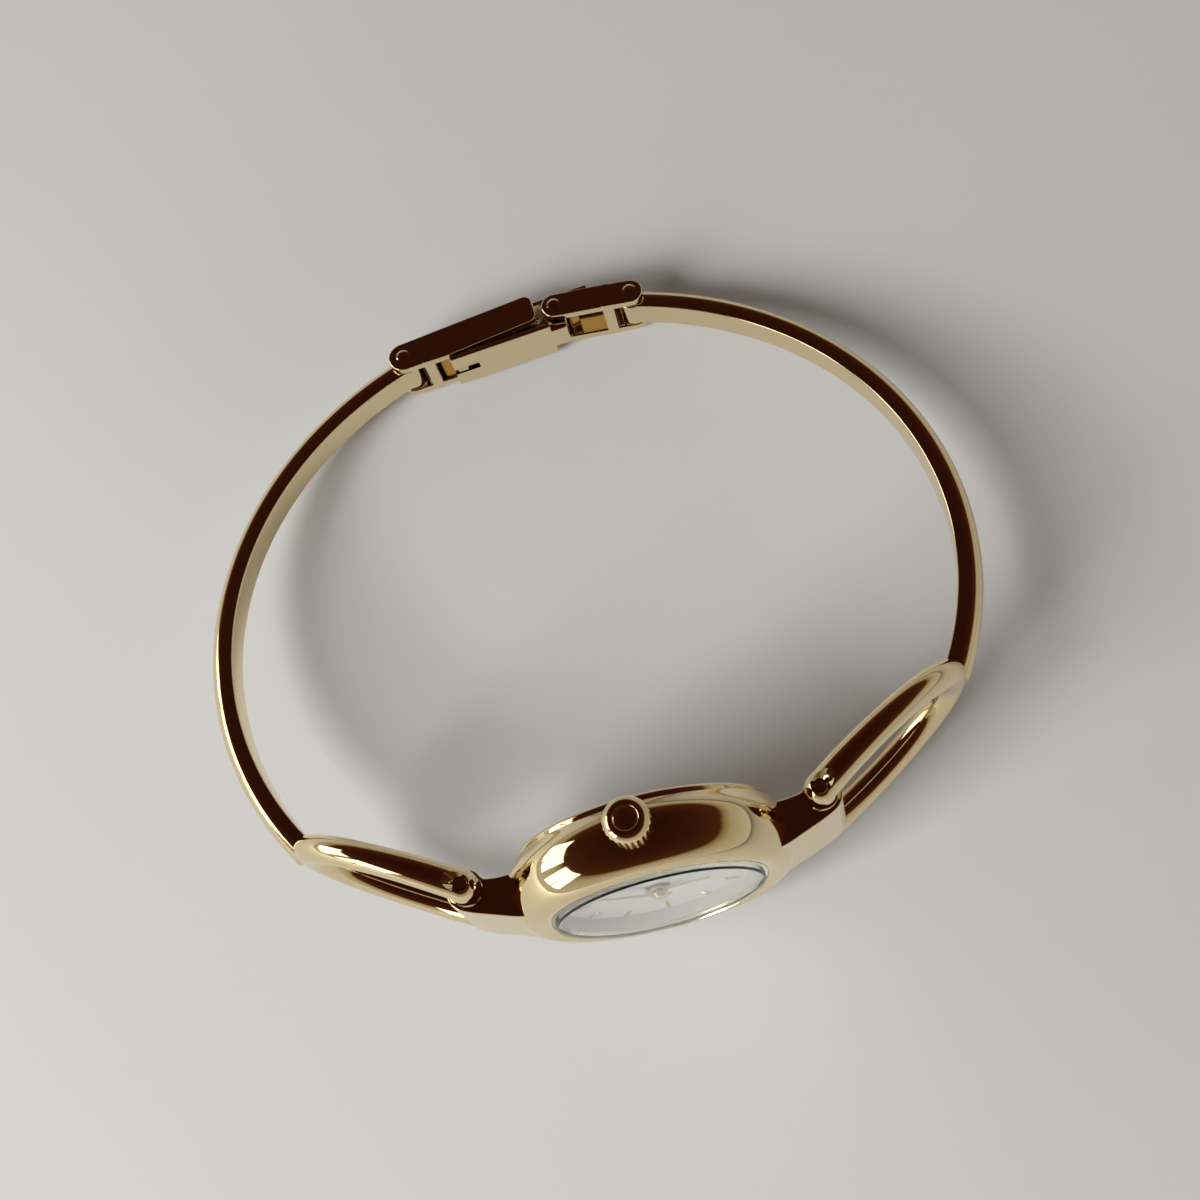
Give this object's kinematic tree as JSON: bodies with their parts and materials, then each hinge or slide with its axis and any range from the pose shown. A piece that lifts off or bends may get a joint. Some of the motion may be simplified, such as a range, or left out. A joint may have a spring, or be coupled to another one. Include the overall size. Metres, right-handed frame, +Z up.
{
  "type": "bangle watch",
  "caption": "Slim rigid bangle watch: small round head on two hinged stirrup links, thin curved bars and a fold-over clasp",
  "frame": {"origin": "middle of the footprint, on the surface that the watch lies on", "axes": "+X from the 12 o clock side to the 6 o clock side, along the longest extent; +Y from the watch head to the clasp; +Z up, the side the crown is on. The bangle lies on its edge, leaned about X so that the head and the clasp both rest on the surface"},
  "size_m": [0.062, 0.054, 0.0246],
  "materials": {
    "gold_plate": "polished gold plate on steel",
    "gilt": "gilt, polished",
    "crystal": "clear, domed",
    "grey_gasket": "thin grey seal",
    "black_rubber": "smooth seal",
    "dial_silver": "silvered, fine sunray",
    "ring_grey": "satin",
    "nickel_plate": "nickel plate, fine grain",
    "movement_brass": "cut brass",
    "white_plastic": "moulded",
    "cell_steel": "drawn steel can",
    "spring_steel": "hardened, polished",
    "blued_steel": "blued",
    "ruby": "polished stone",
    "board": "lacquered board",
    "copper": "enamelled copper wire"
  },
  "bodies": {
    "watch_head": {"battery": "cell_steel", "battery_clamp": "spring_steel", "bearing_jewels": "ruby", "bridge_screws": "blued_steel", "case_back": "gold_plate", "case_back_gasket": "black_rubber", "case_middle": "gold_plate", "circuit_board": "board", "coil": "copper", "crown_tube": "gold_plate", "crystal": "crystal", "crystal_gasket": "grey_gasket", "dial": "dial_silver", "dial_markers": "gilt", "dial_ring": "ring_grey", "left_hinge_pin": "gold_plate", "left_lug": "gold_plate", "movement_plate": "nickel_plate", "movement_ring": "white_plastic", "right_hinge_pin": "gold_plate", "right_lug": "gold_plate", "train_bridge": "nickel_plate"},
    "left_arm": {"left_stirrup": "gold_plate", "left_bar": "gold_plate"},
    "right_arm": {"right_stirrup": "gold_plate", "right_bar": "gold_plate"},
    "clasp_housing": {"clasp_housing": "gold_plate", "housing_rivet": "gold_plate"},
    "clasp_link": {"clasp_link": "gold_plate", "leaf_rivet": "gold_plate", "link_rivet": "gold_plate"},
    "clasp_leaf": {"clasp_leaf": "gold_plate"},
    "crown_seal": {"crown_gasket": "black_rubber"},
    "crown": {"crown": "gold_plate", "winding_stem": "spring_steel"},
    "minute_hand": {"minute_hand": "gilt", "cannon_pinion": "spring_steel"},
    "hour_hand": {"hour_hand": "gilt", "hour_wheel": "movement_brass"}
  },
  "joints": [
    {"name": "left_arm_swing", "type": "hinge", "parent": "watch_head", "child": "left_arm", "pos_m": [-0.01335, -0.02172, 0.01071], "axis": [0, 0.174, 0.9847], "range_deg": [0, 30]},
    {"name": "right_arm_swing", "type": "hinge", "parent": "watch_head", "child": "right_arm", "pos_m": [0.01335, -0.02172, 0.01071], "axis": [0, 0.174, 0.9847], "range_deg": [-30, 0]},
    {"name": "housing_fold", "type": "hinge", "parent": "left_arm", "child": "clasp_housing", "pos_m": [-0.00995, 0.02423, 0.00259], "axis": [0, 0.174, 0.9847], "range_deg": [0, 75]},
    {"name": "link_fold", "type": "hinge", "parent": "right_arm", "child": "clasp_link", "pos_m": [0.00995, 0.02423, 0.00259], "axis": [0, 0.174, 0.9847], "range_deg": [0, 60]},
    {"name": "leaf_fold", "type": "hinge", "parent": "clasp_link", "child": "clasp_leaf", "pos_m": [0.00348, 0.02496, 0.00246], "axis": [0, 0.174, 0.9847], "range_deg": [0, 60]},
    {"name": "crown_pull", "type": "slide", "parent": "watch_head", "child": "crown_seal", "axis": [0, 0.174, 0.9847], "range_m": [0, 0.0008]},
    {"name": "crown_turn", "type": "hinge", "parent": "crown_seal", "child": "crown", "pos_m": [0, -0.02058, 0.02168], "axis": [0, 0.174, 0.9847], "continuous": true},
    {"name": "minute_hand_turn", "type": "hinge", "parent": "watch_head", "child": "minute_hand", "pos_m": [0, -0.02346, 0.01102], "axis": [0, 0.9847, -0.174], "continuous": true},
    {"name": "hour_hand_turn", "type": "hinge", "parent": "watch_head", "child": "hour_hand", "pos_m": [0, -0.02346, 0.01102], "axis": [0, 0.9847, -0.174], "continuous": true}
  ],
  "couplings": [
    {"joint": "right_arm_swing", "follows": "left_arm_swing", "ratio": -1},
    {"joint": "hour_hand_turn", "follows": "minute_hand_turn", "ratio": 0.083333}
  ]
}
